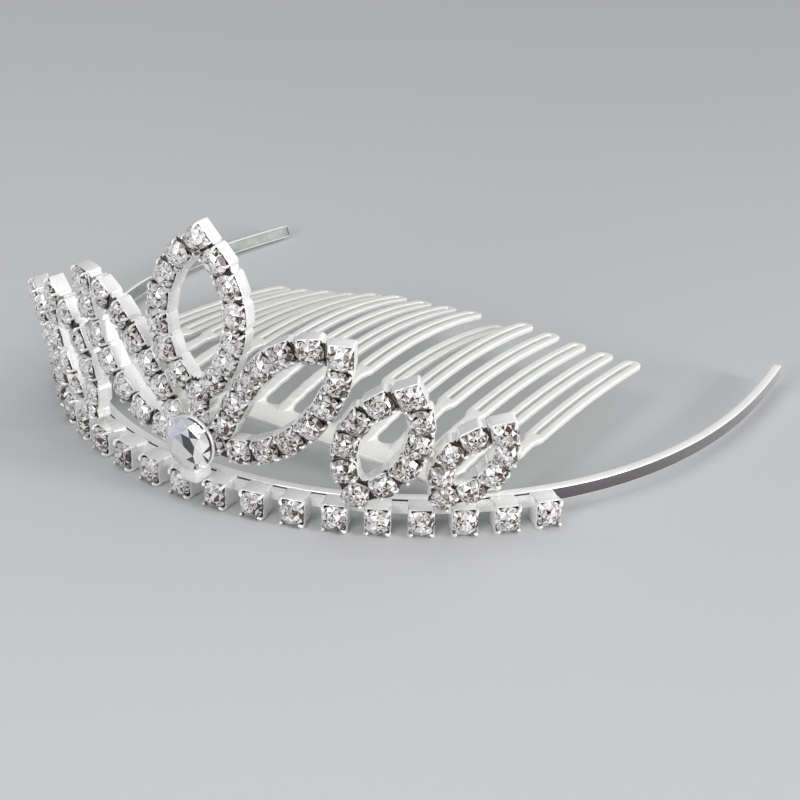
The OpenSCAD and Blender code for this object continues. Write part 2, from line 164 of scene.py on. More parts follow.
# side is 1 on the right and -1 on the left. tip and base are a place along the strip and a height.
# dark is how dark the stones' painted reflections look: those on the right mirror the dark side of
# the room.
Leaf = namedtuple("Leaf", "side tip base first second dark")
LEAVES = {
    "centre": Leaf(1, (0.1, 34.6), (-0.2, 14.65), Arm(-5.2, -0.1, 6), Arm(5.2, 0.2, 6), 0.22),
    "right_1": Leaf(1, (17.6, 23.8), (1.8, 8.7), Arm(4.8, -0.15, 6), Arm(-3.6, 0.66, 6), 0.42),
    "right_2": Leaf(1, (24.9, 19.4), (18.97, 5.25), Arm(3.6, 0.0, 4), Arm(-3.8, 0.0, 4), 0.48),
    "right_3": Leaf(1, (34.8, 14.4), (28.73, 5.2), Arm(2.7, 0.0, 3), Arm(-2.9, 0.0, 3), 0.46),
    "left_1": Leaf(-1, (16.9, 24.8), (1.8, 8.7), Arm(4.8, -0.15, 6), Arm(-2.1, 0.65, 6), 0.16),
    "left_2": Leaf(-1, (25.0, 19.6), (20.07, 5.25), Arm(3.6, 0.0, 4), Arm(-3.8, 0.0, 4), 0.11),
    "left_3": Leaf(-1, (35.6, 14.8), (29.83, 5.2), Arm(2.7, 0.0, 3), Arm(-2.9, 0.0, 3), 0.1),
}
# links are the places that a cup is joined to, each with its distance
Cup = namedtuple("Cup", "place turn half corner links")


# Places on the tiara
def heading(s):
    """Direction of the strip at a place along it."""
    u = s / ARM_SCALE
    return s / FRONT_RADIUS * (1 - ARM_FALL * u**4 / 5 - ARM_SKEW * u / 2)


def walk(way):
    """The strip's middle line, followed in short steps from the front."""
    x = y = 0.0
    out = [(0.0, 0.0)]
    for i in range(WALK_COUNT):
        h = heading(way * (i + 0.5) * WALK_STEP)
        x += way * WALK_STEP * math.cos(h)
        y += way * WALK_STEP * math.sin(h)
        out.append((x, y))
    return out


RIGHT, LEFT = walk(1), walk(-1)


def spot(s):
    """Point of the strip's middle line at a place along it."""
    line = RIGHT if s >= 0 else LEFT
    steps = abs(s) / WALK_STEP
    i = int(steps)
    t = steps - i
    (x0, y0), (x1, y1) = line[i], line[i + 1]
    return (x0 + t * (x1 - x0), y0 + t * (y1 - y0))


def put(p):
    """A point in millimetres, as a point in the row's frame in metres."""
    return ((p[0] - SHIFT_X) / MM, (p[1] - SHIFT_Y) / MM, p[2] / MM)


def axes(origin, x, y, z):
    """Matrix whose columns are these axes, at this origin."""
    m = Matrix.Identity(4)
    for r in range(3):
        m[r][0], m[r][1], m[r][2], m[r][3] = x[r], y[r], z[r], origin[r]
    return m


def on_leaf(s, z):
    """Frame of a leaf cup: x along the strip, y inward, z up the leaf, origin at the front rim."""
    th, lean = heading(s), math.radians(LEAN_START + LEAN_RISE * abs(s))
    inward = Vector((-math.sin(th), math.cos(th), 0))
    up = Vector((0, 0, 1))
    x, y = spot(s)
    return axes(
        Vector((x, y, z)) - inward * (ROW_FRONT + (z - ROW_H) * math.tan(lean)),
        (math.cos(th), math.sin(th), 0),
        inward * math.cos(lean) + up * math.sin(lean),
        up * math.cos(lean) - inward * math.sin(lean),
    )


def on_row(i):
    """Frame of row cup i (fractions lie between cups), origin at the middle of its front."""
    s = ROW_SHIFT + ROW_PITCH * (i - (ROW_COUNT - 1) / 2)
    th = heading(s)
    x, y = spot(s)
    inward = Vector((-math.sin(th), math.cos(th), 0))
    origin = Vector((x, y, ROW_H / 2)) - inward * ROW_FRONT
    return axes(origin, (math.cos(th), math.sin(th), 0), inward, (0, 0, 1))


# Layout of the leaves
def on_arm(leaf, arm, t):
    """Point of an arm, which bows out from the line between the tip, at t = 0, and the base."""
    rx, ry = leaf.base[0] - leaf.tip[0], leaf.base[1] - leaf.tip[1]
    n = math.hypot(rx, ry)
    bow = arm.bulge * max(0.0, 4 * t * (1 - t)) ** ARM_FULLNESS * (1 + arm.skew * (1 - 2 * t))
    return (leaf.tip[0] + t * rx - ry / n * bow, leaf.tip[1] + t * ry + rx / n * bow)


def arm_cups(leaf, arm):
    """Cups spaced evenly along one arm, from the tip towards the base."""
    points = [on_arm(leaf, arm, i / ARM_SAMPLES) for i in range(ARM_SAMPLES + 1)]
    far = [0.0]
    for a, b in zip(points, points[1:]):
        far.append(far[-1] + math.dist(a, b))
    out = []
    for i in range(1, arm.cups + 1):
        want = far[-1] * i / (arm.cups + 1)
        k = max(j for j in range(ARM_SAMPLES) if far[j] <= want)
        t = (k + (want - far[k]) / (far[k + 1] - far[k])) / ARM_SAMPLES
        out.append(on_arm(leaf, arm, t))
    return out


def angle(a, b):
    """Direction from a to b."""
    return math.atan2(b[1] - a[1], b[0] - a[0])


def leaf_cups(leaf):
    """Cups of a leaf, in order around it: the tip, one arm, the base, the other arm."""
    ring = [leaf.tip] + arm_cups(leaf, leaf.first) + [leaf.base] + arm_cups(leaf, leaf.second)[::-1]
    ring = [(leaf.side * s, z) for s, z in ring]
    base = leaf.first.cups + 1
    cups = []
    for i, p in enumerate(ring):
        after, before = ring[(i + 1) % len(ring)], ring[i - 1]
        links = [(q, math.dist(p, q)) for q in (after, before)]
        turn, half, corner = angle(before, after), math.dist(p, after) / 2 + CUP_OVERLAP, SIDE_CORNER
        if i == 0:
            # the tip's cup points one corner outward
            turn, half, corner = angle(ring[base], p) + math.pi / 4, CUP_HALF, TIP_CORNER
        elif abs(i - base) < 2:
            half, corner = CUP_HALF, BASE_CORNER
        cups.append(Cup(p, turn, half, corner, links))
    return cups


# Meshes
PLAIN = (1.0, 1.0, 1.0)
CORNER_POINTS, CUP_CORNER_POINTS = 4, 5
CLAW_SIDES, SETTING_CLAW_SIDES, SETTING_POINTS = 8, 10, 48


class Build:
    """Collects faces of one piece, with a tone and a material number for each face."""

    def __init__(self):
        self.verts, self.faces, self.tones, self.mats, self.smooth = [], [], [], [], []

    def add(self, verts, faces, place=None, tones=None, mats=None, smooth=True):
        """Adds a shape in the frame `place`. Caps of five sides and more are never smooth."""
        n = len(self.verts)
        for p in verts:
            self.verts.append(tuple(place @ Vector(p)) if place is not None else tuple(p))
        for i, f in enumerate(faces):
            self.faces.append([n + k for k in f])
            self.tones.append(tones[i] if tones else PLAIN)
            self.mats.append(mats[i] if mats else 0)
            self.smooth.append(smooth and len(f) < 5)

    def make(self, name, materials, slot, nodes):
        """Makes the piece, in metres, in place of these CAD nodes."""
        me = bpy.data.meshes.new(name)
        me.from_pydata([put(p) for p in self.verts], [], self.faces)
        for m in materials:
            me.materials.append(m)
        me.polygons.foreach_set("material_index", self.mats)
        me.polygons.foreach_set("use_smooth", self.smooth)
        if any(t != PLAIN for t in self.tones):
            att = me.attributes.new("tone", "FLOAT_COLOR", "CORNER")
            data = []
            for poly, t in zip(me.polygons, self.tones):
                data += [*t, 1.0] * poly.loop_total
            att.data.foreach_set("color", data)
        me.validate()
        o = bpy.data.objects.new(name, me)
        bpy.context.scene.collection.objects.link(o)
        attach(o, "root")
        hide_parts(*nodes)


def outward(verts, faces):
    """The same faces, turned so that their normals point outward."""
    bm = bmesh.new()
    vs = [bm.verts.new(p) for p in verts]
    for f in faces:
        bm.faces.new([vs[i] for i in f])
    bmesh.ops.recalc_face_normals(bm, faces=bm.faces)
    bm.verts.index_update()
    out = [[v.index for v in f.verts] for f in bm.faces]
    bm.free()
    return verts, out


def rings(loops):
    """Faces over loops of points, all with the same count, with a cap at each end."""
    verts = [p for loop in loops for p in loop]
    n = len(loops[0])
    faces = []
    for a in range(len(loops) - 1):
        for i in range(n):
            j = (i + 1) % n
            faces.append([a * n + i, a * n + j, (a + 1) * n + j, (a + 1) * n + i])
    faces.append(list(range(n))[::-1])
    faces.append([(len(loops) - 1) * n + i for i in range(n)])
    return verts, faces


def skin(loops):
    """Closed skin over loops of points, with its faces turned outward."""
    return outward(*rings(loops))


def rounded(hw, hh, r, y, n):
    """Loop round a rounded rectangle that faces the front, at depth y, with n points a corner."""
    r = min(r, hw, hh)
    pts = []
    for quarter, (right, up) in enumerate(((1, 1), (-1, 1), (-1, -1), (1, -1))):
        for i in range(n):
            a = math.radians(90 * quarter + 90 * i / (n - 1))
            pts.append((right * (hw - r) + r * math.cos(a), y, up * (hh - r) + r * math.sin(a)))
    return pts


def tube(path, radii, n):
    """Round tube through a path of points, closed at both ends."""
    loops = []
    for i, p in enumerate(path):
        before, after = Vector(path[max(0, i - 1)]), Vector(path[min(len(path) - 1, i + 1)])
        along = (after - before).normalized()
        side = along.cross(Vector((0, 0, 1)))
        if side.length < 0.1:
            side = along.cross(Vector((1, 0, 0)))
        side.normalize()
        up = side.cross(along)
        loop = []
        for k in range(n):
            a = 2 * math.pi * k / n
            loop.append(tuple(Vector(p) + radii[i] * (side * math.cos(a) + up * math.sin(a))))
        loops.append(loop)
    return skin(loops)


# Materials
BUMP_DISTANCE = 0.0002
# painted reflection on the strip's outer face: what it mirrors, between these two places from front
# to back
FACE_FRONT, FACE_BACK = -30, 36
FACE_REFLECTION_STOPS = (
    (0.0, (0.12, 0.11, 0.12)),
    (0.35, (0.19, 0.175, 0.185)),
    (0.7, (0.36, 0.36, 0.37)),
    (0.95, (0.7, 0.7, 0.7)),
)


def material(name):
    """A new material, its node tree and its shader."""
    m = bpy.data.materials.new(name)
    m.use_nodes = True
    nt = m.node_tree
    return m, nt, nt.nodes["Principled BSDF"]


def mapped(nt, scale=1.0, stretch=(1, 1, 1)):
    """The piece's own coordinates, in millimetres, times a scale."""
    co = nt.nodes.new("ShaderNodeTexCoord")
    mp = nt.nodes.new("ShaderNodeMapping")
    mp.inputs["Scale"].default_value = [scale * MM * k for k in stretch]
    nt.links.new(co.outputs["Object"], mp.inputs["Vector"])
    return mp.outputs["Vector"]


def noise(nt, vec, scale, detail=3.0, rough=0.5):
    """Cloudy noise from 0 to 1."""
    n = nt.nodes.new("ShaderNodeTexNoise")
    n.inputs["Scale"].default_value = scale
    n.inputs["Detail"].default_value = detail
    n.inputs["Roughness"].default_value = rough
    nt.links.new(vec, n.inputs["Vector"])
    return n.outputs["Fac"]


def ramp(nt, fac, stops):
    """Colours between stops, each a position and a colour."""
    r = nt.nodes.new("ShaderNodeValToRGB")
    e = r.color_ramp.elements
    e[0].position, e[0].color = stops[0][0], (*stops[0][1], 1)
    e[1].position, e[1].color = stops[-1][0], (*stops[-1][1], 1)
    for pos, col in stops[1:-1]:
        e.new(pos).color = (*col, 1)
    nt.links.new(fac, r.inputs["Fac"])
    return r.outputs["Color"]


def span(nt, fac, low, high, start=0.0, end=1.0):
    """A value from start to end, turned into one from low to high."""
    r = nt.nodes.new("ShaderNodeMapRange")
    r.inputs["From Min"].default_value = start
    r.inputs["From Max"].default_value = end
    r.inputs["To Min"].default_value = low
    r.inputs["To Max"].default_value = high
    nt.links.new(fac, r.inputs["Value"])
    return r.outputs["Result"]


def bump(nt, bsdf, height, strength):
    b = nt.nodes.new("ShaderNodeBump")
    b.inputs["Strength"].default_value = strength
    b.inputs["Distance"].default_value = BUMP_DISTANCE
    nt.links.new(height, b.inputs["Height"])
    nt.links.new(b.outputs["Normal"], bsdf.inputs["Normal"])


def silver(name, light, dark, rough, grain=0.6, uneven=0.15, metallic=0.9):
    """Plated metal: slow cloudy colour, soft wipe marks in the gloss, a slightly uneven skin."""
    m, nt, b = material(name)
    vec = mapped(nt)
    cloud = noise(nt, vec, 0.35, detail=4)
    nt.links.new(ramp(nt, cloud, [(0.3, dark), (0.65, light)]), b.inputs["Base Color"])
    wiped = noise(nt, mapped(nt, stretch=(1, 1, 3)), 0.7, detail=2)
    nt.links.new(span(nt, wiped, rough - 0.04, rough + 0.06), b.inputs["Roughness"])
    b.inputs["Metallic"].default_value = metallic
    bump(nt, b, noise(nt, vec, grain, detail=1), uneven)
    return m


def strip_face_reflection():
    """Outer face of the strip: a painted reflection in its colour, of a dark room at the front and a
    pale one at the ends.
    """
    m, nt, b = material("strip_face_reflection")
    vec = mapped(nt)
    parts = nt.nodes.new("ShaderNodeSeparateXYZ")
    nt.links.new(vec, parts.inputs["Vector"])
    back = span(nt, parts.outputs["Y"], 0.0, 1.0, FACE_FRONT, FACE_BACK)
    nt.links.new(ramp(nt, back, FACE_REFLECTION_STOPS), b.inputs["Base Color"])
    nt.links.new(span(nt, noise(nt, vec, 0.6, 2), 0.26, 0.34), b.inputs["Roughness"])
    b.inputs["Metallic"].default_value = 0.8
    bump(nt, b, noise(nt, vec, 0.3, 1), 0.02)
    return m


def stone_material(name, metallic, speck):
    """Cut stone over foil: the tone of each facet, a painted reflection with painted shade on its
    dark side, is stored on its face, under a clear coat.

    speck is the brightness of the small clouds over it."""
    m, nt, b = material(name)
    att = nt.nodes.new("ShaderNodeAttribute")
    att.attribute_name = "tone"
    cloud = noise(nt, mapped(nt), 2.6, 3, 0.6)
    specks = ramp(nt, cloud, [(0.32, (speck, speck - 0.02, speck - 0.02)), (0.5, PLAIN)])
    # a Mix node's sockets share their names: 0 is the factor, 6 and 7 the colours, 2 the result
    mix = nt.nodes.new("ShaderNodeMix")
    mix.data_type = "RGBA"
    mix.blend_type = "MULTIPLY"
    mix.inputs[0].default_value = 1.0
    nt.links.new(att.outputs["Color"], mix.inputs[6])
    nt.links.new(specks, mix.inputs[7])
    nt.links.new(mix.outputs[2], b.inputs["Base Color"])
    b.inputs["Metallic"].default_value = metallic
    nt.links.new(span(nt, noise(nt, mapped(nt), 1.5), 0.05, 0.14), b.inputs["Roughness"])
    bump(nt, b, noise(nt, mapped(nt), 0.8, 2), 0.03)
    b.inputs["IOR"].default_value = 1.6
    b.inputs["Coat Weight"].default_value = 1.0
    b.inputs["Coat Roughness"].default_value = 0.02
    return m


SATIN = silver(
    "plated_satin", (0.97, 0.98, 0.95), (0.92, 0.93, 0.9),
    rough=0.3, grain=0.4, uneven=0.06, metallic=0.32,
)
BRIGHT = silver(
    "plated_bright", (0.98, 0.985, 0.97), (0.93, 0.935, 0.92),
    rough=0.28, grain=0.25, uneven=0.05, metallic=0.45,
)
EDGE = silver(
    "strip_edge", (0.97, 0.97, 0.96), (0.92, 0.92, 0.91),
    rough=0.3, grain=0.3, uneven=0.03, metallic=0.5,
)
FACE = strip_face_reflection()
# Inner face of the strip: darker grey-green, a painted reflection of the dark room.
INSIDE_REFLECTION = silver(
    "strip_inside_reflection", (0.5, 0.53, 0.5), (0.38, 0.4, 0.38), rough=0.26, grain=0.3, uneven=0.03
)
# Painted shade: the dark colour in the cups' pockets, on the rims where chained cups meet and on the
# fronts of the links between leaf cups.
POCKET_SHADE = silver("cup_pocket_shade", (0.14, 0.1, 0.1), (0.05, 0.035, 0.035), rough=0.3)
STONE = stone_material("cut_stone", metallic=0.1, speck=0.62)
BIG = stone_material("large_cut_stone", metallic=0.2, speck=0.92)


# Strip
ARM_DROP = (
    BAND_LIFT + BAND_H / 2
    - BAND_H / 2 * math.cos(ARM_TWIST) - BAND_T / 2 * math.sin(ARM_TWIST)
)


def twist(s):
    """Outward lean of the left arm, which starts past the end of the row of cups."""
    return 0.0 if s > TWIST_START else ARM_TWIST * (TWIST_START - s) / (ARM_LEFT + TWIST_START)


def drop(s):
    """How far the left arm hangs below the level of the front."""
    return 0.0 if s > 0 else ARM_DROP * (s / ARM_LEFT) ** 2


def make_band():
    b = Build()
    outline = rounded(BAND_T / 2, BAND_H / 2, BAND_EDGE, 0, CORNER_POINTS)
    section = [(x, z) for x, _, z in outline]
    n = len(section)
    loops = []
    for i in range(BAND_STATIONS + 1):
        s = -ARM_LEFT + (ARM_LEFT + ARM_RIGHT) * i / BAND_STATIONS
        k = END_TAPER[min(i, BAND_STATIONS - i, 3)]
        th, tw = heading(s), twist(s)
        x, y = spot(s)
        middle = BAND_LIFT + BAND_H / 2 - drop(s)
        loop = []
        for out, up in section:
            q = out * k * math.cos(tw) + up * k * math.sin(tw)
            v = up * k * math.cos(tw) - out * k * math.sin(tw)
            loop.append((x + q * math.sin(th), y - q * math.cos(th), middle + v))
        loops.append(loop)
    verts, faces = rings(loops)
    # the outer face lies between the section's last point and its first, the inner face opposite
    outer, inner = [0, 0, n - 1, n - 1], [n // 2 - 1, n // 2 - 1, n // 2, n // 2]
    # the outer face and the inner face take the painted reflections, materials 1 and 2
    mats = []
    for f in faces:
        k = sorted(i % n for i in f)
        mats.append(1 if k == outer else 2 if k == inner else 0)
    b.add(verts, faces, mats=mats)
    b.make("strip", [EDGE, FACE, INSIDE_REFLECTION], "silver_band", ["band"])


# Comb
def spine_height(x):
    """Height of the middle of the arched sheet, at a place across the comb."""
    return SPINE_TOP - x * x / (2 * SPINE_R)


def tip_height(k):
    """Height of the tip of tooth k, counted from 1. Each tooth is bent a little differently."""
    off = k - MID_TOOTH
    return TIP_MID + TIP_SLOPE * off - TIP_FALL * off**2 + TIP_BEND[k - 1]


def tooth_rise(k):
    """How far tooth k bows up between the spine and its tip: the most in the middle."""
    more = min(BOW_MORE, BOW_RIGHT * (BOW_RIGHT_FROM - k), BOW_LEFT * (k - BOW_LEFT_FROM))
    return BOW_LEAST + max(0.0, more)


def comb_point(u, v, z):
    """Point u across the comb and v behind the line where its teeth start, at height z."""
    c, s = math.cos(COMB_TURN), math.sin(COMB_TURN)
    return (COMB_MID[0] + u * c - v * s, COMB_MID[1] + u * s + v * c, z)


def tooth_frame(k):
    """Tooth k: a function that places its points on an arc from foot to tip, and its length."""
    foot, end = COMB_PITCH * (k - MID_TOOTH), TIP_PITCH * (k - MID_TOOTH)
    long = math.hypot(end - foot, TOOTH_L)
    dx, dy = (end - foot) / long, TOOTH_L / long
    low = spine_height(foot)
    rise = tip_height(k) - low
    chord = math.hypot(long + FOOT, rise)
    bow = tooth_rise(k)
    bend = chord * chord / (8 * bow) + bow / 2
    tilt = math.atan2(rise, long + FOOT)

    def at(u, v, w):
        """u across the tooth, v along it from the spine, w above the sheet's middle."""
        run = (v + FOOT) / math.cos(tilt) - chord / 2
        a = math.asin(max(-1.0, min(1.0, run / bend)))
        ry = chord / 2 + (bend + w) * math.sin(a)
        rz = bow - bend + (bend + w) * math.cos(a)
        py = ry * math.cos(tilt) - rz * math.sin(tilt) - FOOT
        pz = low + ry * math.sin(tilt) + rz * math.cos(tilt)
        return comb_point(foot + u * dy + py * dx, -u * dx + py * dy, pz)

    return at, long


def neck_half(v):
    """Half width of a tooth below its slot: a wavy neck that widens at the shoulders."""
    t = min(1.0, max(0.0, (v - SLOT_START + SHOULDER_START) / SHOULDER_L))
    shoulder = (TOOTH_W - NECK_W) / 2 * t * t * (3 - 2 * t)
    lobe = max(math.exp(-(((v - c) / LOBE_L) ** 2)) for c in LOBES)
    return NECK_W / 2 + LOBE_H * lobe + shoulder


def bar(a, c):
    """Section of a flat bar with softened edges, of half width a and half height c."""
    e, r = BAR_EDGE, BAR_EDGE * BAR_ROUND
    corner = [(a, c - e), (a - r, c - r), (a - e, c)]
    return (
        [(a, 0.0)]
        + corner
        + [(a * BAR_FLAT, c), (-a * BAR_FLAT, c)]
        + [(-x, z) for x, z in corner[::-1]]
        + [(-a, 0.0)]
        + [(-x, -z) for x, z in corner]
        + [(x, -z) for x, z in corner[::-1]]
    )


def tooth_neck(at):
    """Lower part of a tooth, with pressed cross grooves that stop short of its left edge."""
    stop = SLOT_START + NECK_OVERLAP
    loops = []
    for i in range(NECK_ROWS + 1):
        v = -FOOT + (stop + FOOT) * i / NECK_ROWS
        half = neck_half(v)
        groove = sum(math.exp(-(((v - c) / GROOVE_L) ** 2)) for c in GROOVES)
        loop = []
        for x, z in bar(half, COMB_T / 2):
            fade = min(1.0, max(0.0, (x / half + GROOVE_STOP) * GROOVE_FADE)) if z > 0 else 0.0
            loop.append(at(x, v, z - GROOVE_D * groove * fade))
        loops.append(loop)
    return skin(loops)


def tooth_legs(at, long):
    """The two legs and the round tip of a tooth: one flat bar, bent like a hairpin."""
    leg = (TOOTH_W - SLOT_W) / 2
    mid = (TOOTH_W - leg) / 2
    low, high = SLOT_START - LEG_OVERLAP, long - TOOTH_W / 2
    up = [low + (high - low) * i / LEG_STEPS for i in range(LEG_STEPS + 1)]
    down = [high - (high - low) * i / LEG_STEPS for i in range(LEG_STEPS + 1)]
    turn = [math.pi * (1 - i / TIP_STEPS) for i in range(1, TIP_STEPS)]
    # the bar's middle line, and the direction across it
    path = [(-mid, v, -1.0, 0.0) for v in up]
    path += [(mid * math.cos(a), high + mid * math.sin(a), math.cos(a), math.sin(a)) for a in turn]
    path += [(mid, v, 1.0, 0.0) for v in down]
    loops = []
    for i, (u, v, nu, nv) in enumerate(path):
        sunk = LEG_ENDS[min(i, len(path) - 1 - i, 2)]
        section = bar(leg / 2 - sunk, COMB_T / 2 + LEG_PROUD - sunk)
        loops.append([at(u + nu * q, v + nv * q, h) for q, h in section])
    return skin(loops)


def behind_strip(u, v):
    """Whether a point of the comb lies behind the middle of the strip's front curve."""
    x, y, _ = comb_point(u, v, 0)
    return math.hypot(x, y - FRONT_RADIUS) < FRONT_RADIUS - SPINE_TRIM


def spine():
    """Flat spine with round ends to the gaps, arched across and trimmed along the strip."""
    notch = (COMB_PITCH - NECK_W) / 2
    half = COMB_T / 2
    last_tooth = (TEETH // 2) * COMB_PITCH + TOOTH_W / 2
    loops = []
    for i in range(SPINE_STEPS + 1):
        u = -SPINE_HALF + 2 * SPINE_HALF * i / SPINE_STEPS
        near = min(abs(u - COMB_PITCH * (k - TEETH / 2)) for k in range(1, TEETH))
        round_end = math.sqrt(max(0.0, notch**2 - near**2)) if near < notch else 0.0
        back = notch - NOTCH_SUNK - round_end
        if abs(u) > last_tooth - SPINE_END_INSET:
            back = SPINE_END_BACK
        front = -SPINE_W
        while front < back and not behind_strip(u, front):
            front += SPINE_TRIM_STEP
        if back - front < SPINE_LEAST:
            continue
        upper = [
            (front, 0),
            (front + SPINE_BEVEL, half * SPINE_BEVEL_RISE),
            (front + SPINE_EDGE, half),
            *((front + (back - front) * share, half) for share in SPINE_INNER),
            (back - SPINE_EDGE, half),
            (back - SPINE_BEVEL, half * SPINE_BEVEL_RISE),
            (back, 0),
        ]
        lower = [(v, -w) for v, w in (upper[6], upper[5], upper[2], upper[1])]
        loop = []
        for v, w in upper + lower:
            x, y, _ = comb_point(u, v, 0)
            loop.append((x, y, spine_height(x) + (y - SPINE_TILT_Y) * math.tan(SPINE_TILT) + w))
        loops.append(loop)
    return skin(loops)


def make_comb():
    b = Build()
    for k in range(1, TEETH + 1):
        at, long = tooth_frame(k)
        b.add(*tooth_neck(at))
        b.add(*tooth_legs(at, long))
    b.add(*spine())
    b.make("comb", [SATIN], "silver_comb", ["hair_comb"])


# Cups
LEAST_CORNER = 0.05
RIM_LOOP, POCKET_LOOP = 5, 8  # the loops of a cup where its rim and its pocket start
SHADED_RIM = 0.84  # in a chain, a cup's rim takes painted shade beyond this share of its half length
# A claw's depth, its lean over the stone as a share of its reach, and its share of thickness
CLAW_PATH = (
    (1.1, 0.0, 0.85),
    (0.2, -0.06, 1.0),
    (-0.15, 0.02, 1.05),
    (-0.34, 0.28, 1.05),
    (-0.45, 0.62, 0.95),
    (-0.5, 0.95, 0.7),
    (-0.5, 1.12, 0.25),
)
CORNERS = [(a, c) for a in (-1, 1) for c in (-1, 1)]


def cup_shell(hw, hh, corner, depth, chained=False):
    """Closed cup with soft edges: back, wall, low rim and pocket. Its pocket takes material 1, a
    painted shade, and so does its rim where it turns to the next cup of a chain."""
    profile = (  # inset and depth of each loop
        (0.14, depth),
        (0.04, depth - 0.05),
        (0.0, depth - 0.18),
        (0.03, depth * 0.55),
        (0.01, 0.6),
        (0.0, 0.4),
        (0.03, 0.27),
        (0.08, 0.22),
        (0.13, 0.25),
        (0.16, 0.4),
        (0.17, 0.9),
    )
    loops = []
    for k, y in profile:
        loops.append(rounded(hw - k, hh - k, max(LEAST_CORNER, corner - k), y, CUP_CORNER_POINTS))
    verts, faces = skin(loops)
    n = len(loops[0])
    mats = []
    for f in faces:
        out = sum(abs(verts[i][0]) for i in f) / len(f)
        shaded_seam = chained and min(f) >= RIM_LOOP * n and out > SHADED_RIM * hw
        mats.append(1 if shaded_seam or min(f) >= POCKET_LOOP * n else 0)
    return verts, faces, mats


def claw(x, z, reach, r):
    """A claw that stands at the cup's corner and bends over the stone."""
    d = math.hypot(x, z)
    path = [(x - x / d * reach * k, y, z - z / d * reach * k) for y, k, _ in CLAW_PATH]
    return tube(path, [r * thick for _, _, thick in CLAW_PATH], CLAW_SIDES)


def leaf_link(length):
    """Bar from a leaf cup towards the next one, behind their rims. Its first face is its front."""
    front, back = LINK_FRONT, CUP_D - LINK_INSET
    section = ((-LINK_HALF, front), (LINK_HALF, front), (LINK_HALF, back), (-LINK_HALF, back))
    return skin([[(x, y, z) for z, y in section] for x in (0.0, length)])


def row_link():
    """Short bar between two cups of the row, at their backs."""
    front, back, low, high = ROW_LINK_FRONT, ROW_LINK_BACK, ROW_LINK_LOW, ROW_LINK_HIGH
    section = ((front, low), (back, low), (back, high), (front, high))
    return skin([[(x, y, z) for y, z in section] for x in (-ROW_LINK_HALF, ROW_LINK_HALF)])


# Stones
# Painted reflections in the stones' facets: lit, grey and dark tones.
WHITE = [(0.98, 0.98, 0.96), (0.9, 0.9, 0.89), (0.8, 0.79, 0.78)]
GREY = [(0.55, 0.52, 0.51), (0.36, 0.32, 0.32), (0.66, 0.64, 0.63)]
DARK = [(0.07, 0.035, 0.035), (0.13, 0.075, 0.07), (0.02, 0.012, 0.014)]
FACETS = 8
GIRDLE_STEPS = 3
GIRDLE_POINTS = FACETS * GIRDLE_STEPS
STONE_LIFT, STONE_RIM = 0.85, 0.02
CROWN_RINGS = (  # share of the radius, points, turn in steps, height above the girdle
    (0.0, 1, 0.0, STONE_LIFT),
    (0.44, FACETS, 0.0, STONE_LIFT - 0.02),
    (0.76, FACETS, 0.5, STONE_LIFT * 0.6),
    (1.0, GIRDLE_POINTS, 0.0, 0.0),
)
BACK_RINGS = ((0.3, 0.98), (0.6, 0.6))  # depth and share of the girdle's radius
TABLE_SHIFT, CUT_TURN, CUT_HEIGHT = 0.16, 0.16, 0.09  # how uneven the cut is
SHADE_LOW, SHADE_HIGH = -1.3, 0.7  # the dark facets, painted shade, gather round a direction between these
WHOLE_FACET, WHOLE_SHARD = 0.15, 0.55  # chance that a facet, or a shard of one, isn't split
SHARD_LEAST = 0.25
TABLE_SHARE, GIRDLE_SHARE = 0.4, 0.97  # a facet is part of the table within, of the girdle beyond
SLIVER_AREA, SLIVER_MOST = 0.035, 2.0  # the smaller a shard, the darker, up to this factor
AREA_LEAST = 1e-4
# At the girdle: chance of a dark tone, what the painted shade on a stone's dark side adds to it,
# chance of a grey one
GIRDLE_DARK, GIRDLE_SIDE, GIRDLE_GREY = 0.1, 0.8, 0.2
# Elsewhere: factor of a stone's own darkness, and what the painted shade on its dark side adds to it
# off the table
TABLE_DARK, CROWN_SIDE = 0.6, 1.6
# Elsewhere: chance of a grey tone, and what a stone's own darkness adds to it
CROWN_GREY, CROWN_GREY_MORE = 0.18, 0.35


def tone(rng, dark, grey):
    """A tone, dark or grey with these chances."""
    k = rng.random()
    group = DARK if k < dark else GREY if k < dark + grey else WHITE
    return rng.choice(group)


def crown_facets(table, star, main, girdle, steps):
    """Facets of a crown: the table in eight parts, star, main and girdle facets. The first four
    numbers say where the points of each ring start. Each main facet has `steps` girdle steps."""
    facets = [(table, star + (i + 1) % FACETS, star + i) for i in range(FACETS)]
    for i in range(FACETS):
        j = (i + 1) % FACETS
        facets.append((star + i, star + j, main + i))
        facets.append((main + i, star + j, main + j))
    for i in range(FACETS):
        edge = [girdle + (steps * i + k) % (steps * FACETS) for k in range(steps + 1)]
        facets += [(main + i, a, b) for a, b in zip(edge, edge[1:])]
        facets.append((main + (i - 1) % FACETS, main + i, edge[0]))
    return facets


def crown_points(rx, rz, square, rng):
    """Points of a small stone's crown, and where each of its rings starts. The outline lies
    between a circle, at square = 0, and a square."""
    shift_x = TABLE_SHIFT * (rng.random() - 0.5)
    shift_z = TABLE_SHIFT * (rng.random() - 0.5)
    turn = rng.random() * math.pi / 4
    verts, start = [], []
    for k, (share, n, off, height) in enumerate(CROWN_RINGS):
        start.append(len(verts))
        for i in range(n):
            a = 2 * math.pi * (i + off) / n + turn
            y = STONE_RIM - height
            # the girdle is cut evenly, and only the table's rings are shifted
            if k < 3:
                a += CUT_TURN * (rng.random() - 0.5)
            if 0 < k < 3:
                y += CUT_HEIGHT * (rng.random() - 0.5)
            if k < 2:
                q, dx, dz = share, shift_x, shift_z
            else:
                out = 1 / max(abs(math.cos(a)), abs(math.sin(a)))
                q, dx, dz = share * (1 + square * (out - 1)), 0.0, 0.0
            verts.append((rx * q * math.cos(a) + dx, y, rz * q * math.sin(a) + dz))
    return verts, start


